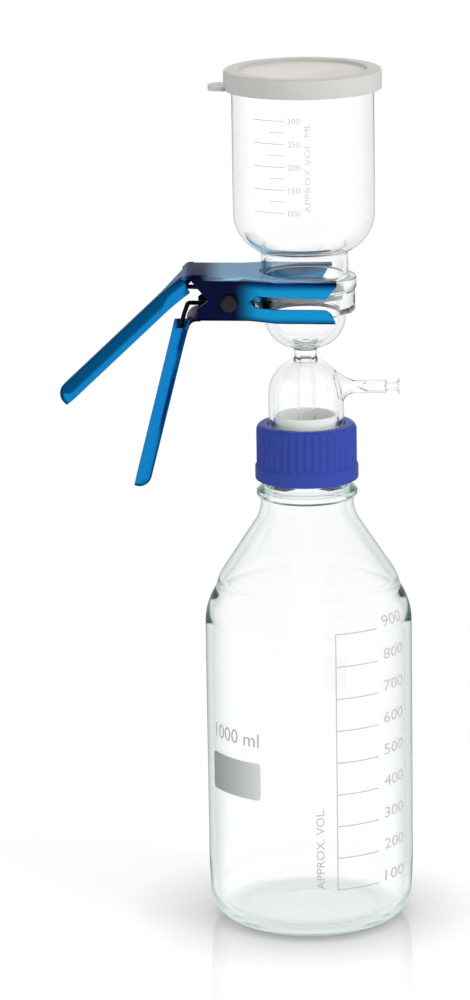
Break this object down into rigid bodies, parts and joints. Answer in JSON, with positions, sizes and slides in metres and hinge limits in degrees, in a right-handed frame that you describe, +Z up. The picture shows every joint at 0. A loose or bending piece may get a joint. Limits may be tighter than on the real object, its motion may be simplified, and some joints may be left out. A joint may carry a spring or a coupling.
{
  "type": "vacuum filtration unit",
  "caption": "Glass vacuum filtration unit: graduated funnel with lid, sprung sheet-metal clamp, fritted filter base with side arm, open-top screw cap and receiver bottle",
  "frame": {"origin": "centre of the bottle's foot on the bench", "axes": "+Z up along the glass axis, +X along the side arm, the clamp's handles towards -X"},
  "size_m": [0.1704, 0.1014, 0.424],
  "materials": {
    "bottle_glass": "clear borosilicate glass with pale grey enamel marks",
    "clear_glass": "clear borosilicate glass, ground flange faces",
    "fritted_glass": "sintered white glass",
    "membrane": "white porous membrane",
    "lid_rubber": "translucent grey silicone",
    "seal_rubber": "pale beige silicone",
    "cap_plastic": "blue polypropylene",
    "blue_metal": "blue anodised",
    "pin_steel": "turned steel",
    "spring_steel": "blackened spring steel",
    "black_plastic": "black nylon"
  },
  "bodies": {
    "receiver": {"bottle": "bottle_glass"},
    "head": {"seal_ring": "seal_rubber", "filter_base": "clear_glass", "frit_disc": "fritted_glass", "membrane_filter": "membrane", "funnel": "clear_glass", "pivot_pin": "pin_steel", "pin_cap_front": "black_plastic", "pin_cap_rear": "black_plastic", "torsion_spring": "spring_steel"},
    "cap": {"screw_cap": "cap_plastic"},
    "upper_jaw": {"clamp_upper_jaw": "blue_metal"},
    "lower_jaw": {"clamp_lower_jaw": "blue_metal"},
    "cover": {"lid": "lid_rubber"}
  },
  "joints": [
    {"name": "head_lift", "type": "slide", "parent": "receiver", "child": "head", "axis": [0, 0, 1], "range_m": [0, 0.006]},
    {"name": "cap_turn", "type": "hinge", "parent": "head", "child": "cap", "pos_m": [0, 0, 0.236], "axis": [0, 0, 1], "range_deg": [0, 545]},
    {"name": "upper_jaw_open", "type": "hinge", "parent": "head", "child": "upper_jaw", "pos_m": [-0.0365, 0, 0.314], "axis": [0, -1, 0], "range_deg": [0, 9.5], "stiffness_Nm_per_rad": 0.4, "springref_deg": -34.38, "deforming": ["torsion_spring"]},
    {"name": "lower_jaw_open", "type": "hinge", "parent": "head", "child": "lower_jaw", "pos_m": [-0.0365, 0, 0.314], "axis": [0, 1, 0], "range_deg": [0, 9.5], "stiffness_Nm_per_rad": 0.4, "springref_deg": -34.38, "deforming": ["torsion_spring"]},
    {"name": "lid_lift", "type": "slide", "parent": "head", "child": "cover", "axis": [0, 0, 1], "range_m": [0, 0.03]}
  ],
  "couplings": [
    {"joint": "cap_turn", "follows": "head_lift", "rad_per_m": 1570.8},
    {"joint": "lower_jaw_open", "follows": "upper_jaw_open", "ratio": 1}
  ]
}
